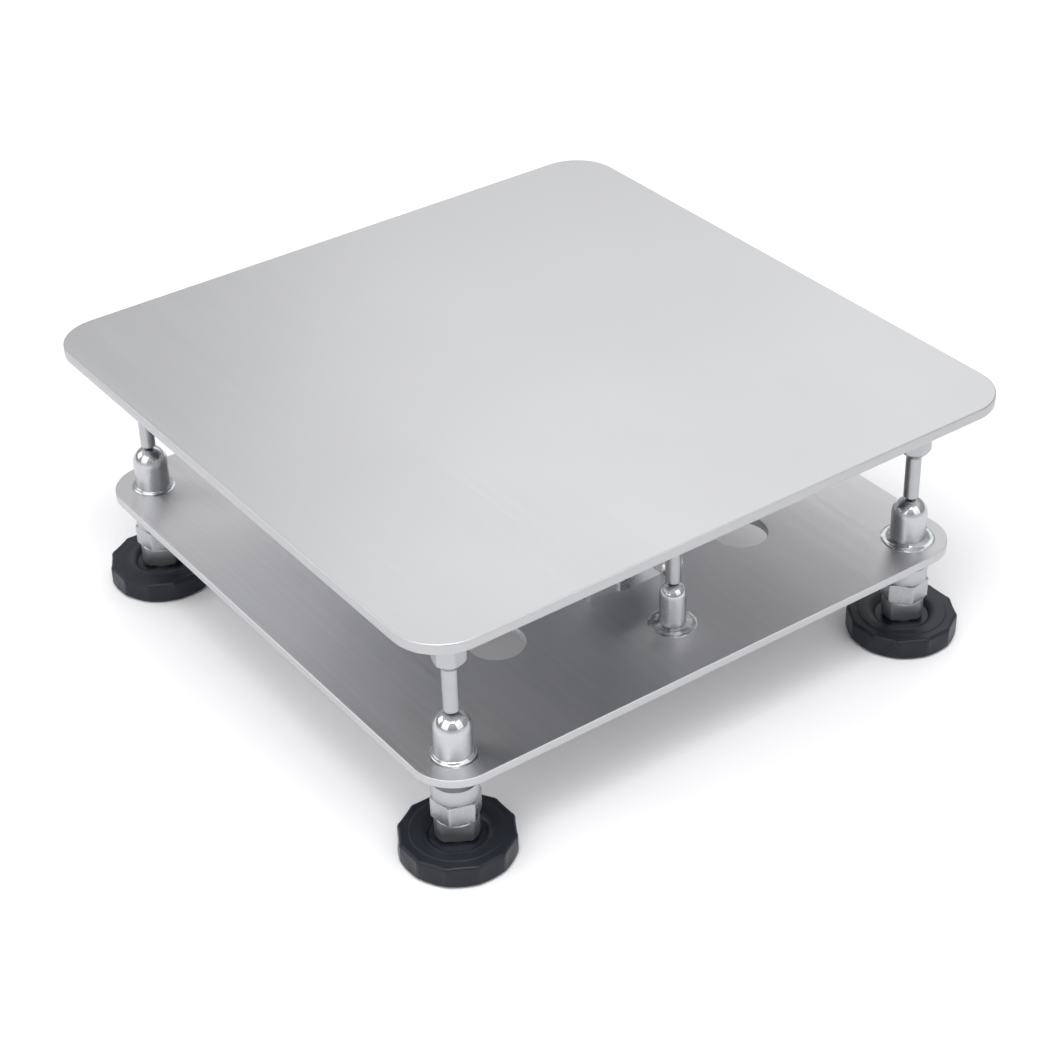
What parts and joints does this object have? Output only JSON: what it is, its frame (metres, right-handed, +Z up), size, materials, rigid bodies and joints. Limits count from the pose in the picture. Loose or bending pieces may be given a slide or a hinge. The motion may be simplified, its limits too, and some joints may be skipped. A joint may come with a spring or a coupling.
{
  "type": "animal weighing scale",
  "caption": "Low square weighing scale: stainless platter over a base plate, with stop posts above domed studs and screw feet with lock nuts and black pads.",
  "frame": {"origin": "on the floor, under the centre of the platter", "axes": "+Z up, out of the platter's top; -Y is the front, where the load cell's fixed end and its cable gland are; +X is to the right seen from the front"},
  "size_m": [0.305, 0.305, 0.128],
  "materials": {
    "platter_steel": "fine satin brushed",
    "base_steel": "brushed along the depth",
    "post_steel": "satin turned",
    "dome_steel": "mirror polished tip, satin side",
    "weld_steel": "polished weld",
    "collar_steel": "turned",
    "nut_steel": "plain, lightly worn",
    "stem_steel": "rolled thread, milled flats",
    "pad_plastic": "satin black",
    "sole_rubber": "matt",
    "cell_steel": "fine ground",
    "cover_steel": "thin sheet, welded",
    "block_steel": "milled",
    "screw_steel": "plain",
    "gauge_foil": "film",
    "gland_brass": "nickel plated",
    "seal_rubber": "matt"
  },
  "bodies": {
    "base": {"base_plate": "base_steel", "foot_dome_front_left": "dome_steel", "foot_dome_front_right": "dome_steel", "foot_dome_rear_left": "dome_steel", "foot_dome_rear_right": "dome_steel", "stop_dome_front_middle": "dome_steel", "stop_dome_rear_middle": "dome_steel", "corner_welds": "weld_steel", "middle_welds": "weld_steel", "base_spacer": "block_steel", "base_screws": "screw_steel", "base_washers": "screw_steel", "load_cell": "cell_steel", "cell_cover_left": "cover_steel", "cell_cover_right": "cover_steel", "strain_gauges": "gauge_foil", "gland_body": "gland_brass", "gland_nut": "gland_brass", "gland_seal": "seal_rubber"},
    "platter": {"weighing_platter": "platter_steel", "platter_block": "block_steel", "platter_studs": "post_steel", "platter_screws": "screw_steel", "platter_washers": "screw_steel", "stop_post_front_left": "post_steel", "stop_post_front_right": "post_steel", "stop_post_rear_left": "post_steel", "stop_post_rear_right": "post_steel", "stop_post_front_middle": "post_steel", "stop_post_rear_middle": "post_steel"},
    "pad_front_left": {"foot_pad_front_left": "pad_plastic", "foot_sole_front_left": "sole_rubber"},
    "stem_front_left": {"foot_stem_front_left": "stem_steel"},
    "collar_front_left": {"lock_collar_front_left": "collar_steel"},
    "nut_front_left": {"lock_nut_front_left": "nut_steel"},
    "pad_front_right": {"foot_pad_front_right": "pad_plastic", "foot_sole_front_right": "sole_rubber"},
    "stem_front_right": {"foot_stem_front_right": "stem_steel"},
    "collar_front_right": {"lock_collar_front_right": "collar_steel"},
    "nut_front_right": {"lock_nut_front_right": "nut_steel"},
    "pad_rear_left": {"foot_pad_rear_left": "pad_plastic", "foot_sole_rear_left": "sole_rubber"},
    "stem_rear_left": {"foot_stem_rear_left": "stem_steel"},
    "collar_rear_left": {"lock_collar_rear_left": "collar_steel"},
    "nut_rear_left": {"lock_nut_rear_left": "nut_steel"},
    "pad_rear_right": {"foot_pad_rear_right": "pad_plastic", "foot_sole_rear_right": "sole_rubber"},
    "stem_rear_right": {"foot_stem_rear_right": "stem_steel"},
    "collar_rear_right": {"lock_collar_rear_right": "collar_steel"},
    "nut_rear_right": {"lock_nut_rear_right": "nut_steel"}
  },
  "joints": [
    {"name": "platter_travel", "type": "slide", "parent": "base", "child": "platter", "axis": [0, 0, -1], "range_m": [0, 0.00075], "stiffness_N_per_m": 750000, "springref_m": -0.00006, "deforming": ["load_cell"]},
    {"name": "foot_travel_front_left", "type": "slide", "parent": "base", "child": "pad_front_left", "axis": [0, 0, -1], "range_m": [-0.00525, 0.00525]},
    {"name": "foot_spin_front_left", "type": "hinge", "parent": "pad_front_left", "child": "stem_front_left", "pos_m": [-0.1232, -0.1232, 0.03], "axis": [0, 0, -1], "range_deg": [-1081, 1081]},
    {"name": "collar_travel_front_left", "type": "slide", "parent": "stem_front_left", "child": "collar_front_left", "axis": [0, 0, 1], "range_m": [0, 0.00788]},
    {"name": "nut_spin_front_left", "type": "hinge", "parent": "collar_front_left", "child": "nut_front_left", "pos_m": [-0.1232, -0.1232, 0.025], "axis": [0, 0, 1], "range_deg": [0, 1621]},
    {"name": "foot_travel_front_right", "type": "slide", "parent": "base", "child": "pad_front_right", "axis": [0, 0, -1], "range_m": [-0.00525, 0.00525]},
    {"name": "foot_spin_front_right", "type": "hinge", "parent": "pad_front_right", "child": "stem_front_right", "pos_m": [0.1232, -0.1232, 0.03], "axis": [0, 0, -1], "range_deg": [-1081, 1081]},
    {"name": "collar_travel_front_right", "type": "slide", "parent": "stem_front_right", "child": "collar_front_right", "axis": [0, 0, 1], "range_m": [0, 0.00788]},
    {"name": "nut_spin_front_right", "type": "hinge", "parent": "collar_front_right", "child": "nut_front_right", "pos_m": [0.1232, -0.1232, 0.025], "axis": [0, 0, 1], "range_deg": [0, 1621]},
    {"name": "foot_travel_rear_left", "type": "slide", "parent": "base", "child": "pad_rear_left", "axis": [0, 0, -1], "range_m": [-0.00525, 0.00525]},
    {"name": "foot_spin_rear_left", "type": "hinge", "parent": "pad_rear_left", "child": "stem_rear_left", "pos_m": [-0.1232, 0.1232, 0.03], "axis": [0, 0, -1], "range_deg": [-1081, 1081]},
    {"name": "collar_travel_rear_left", "type": "slide", "parent": "stem_rear_left", "child": "collar_rear_left", "axis": [0, 0, 1], "range_m": [0, 0.00788]},
    {"name": "nut_spin_rear_left", "type": "hinge", "parent": "collar_rear_left", "child": "nut_rear_left", "pos_m": [-0.1232, 0.1232, 0.025], "axis": [0, 0, 1], "range_deg": [0, 1621]},
    {"name": "foot_travel_rear_right", "type": "slide", "parent": "base", "child": "pad_rear_right", "axis": [0, 0, -1], "range_m": [-0.00525, 0.00525]},
    {"name": "foot_spin_rear_right", "type": "hinge", "parent": "pad_rear_right", "child": "stem_rear_right", "pos_m": [0.1232, 0.1232, 0.03], "axis": [0, 0, -1], "range_deg": [-1081, 1081]},
    {"name": "collar_travel_rear_right", "type": "slide", "parent": "stem_rear_right", "child": "collar_rear_right", "axis": [0, 0, 1], "range_m": [0, 0.00788]},
    {"name": "nut_spin_rear_right", "type": "hinge", "parent": "collar_rear_right", "child": "nut_rear_right", "pos_m": [0.1232, 0.1232, 0.025], "axis": [0, 0, 1], "range_deg": [0, 1621]}
  ],
  "couplings": [
    {"joint": "foot_spin_front_left", "follows": "foot_travel_front_left", "rad_per_m": 3590.4},
    {"joint": "nut_spin_front_left", "follows": "collar_travel_front_left", "rad_per_m": 3590.4},
    {"joint": "foot_spin_front_right", "follows": "foot_travel_front_right", "rad_per_m": 3590.4},
    {"joint": "nut_spin_front_right", "follows": "collar_travel_front_right", "rad_per_m": 3590.4},
    {"joint": "foot_spin_rear_left", "follows": "foot_travel_rear_left", "rad_per_m": 3590.4},
    {"joint": "nut_spin_rear_left", "follows": "collar_travel_rear_left", "rad_per_m": 3590.4},
    {"joint": "foot_spin_rear_right", "follows": "foot_travel_rear_right", "rad_per_m": 3590.4},
    {"joint": "nut_spin_rear_right", "follows": "collar_travel_rear_right", "rad_per_m": 3590.4}
  ]
}
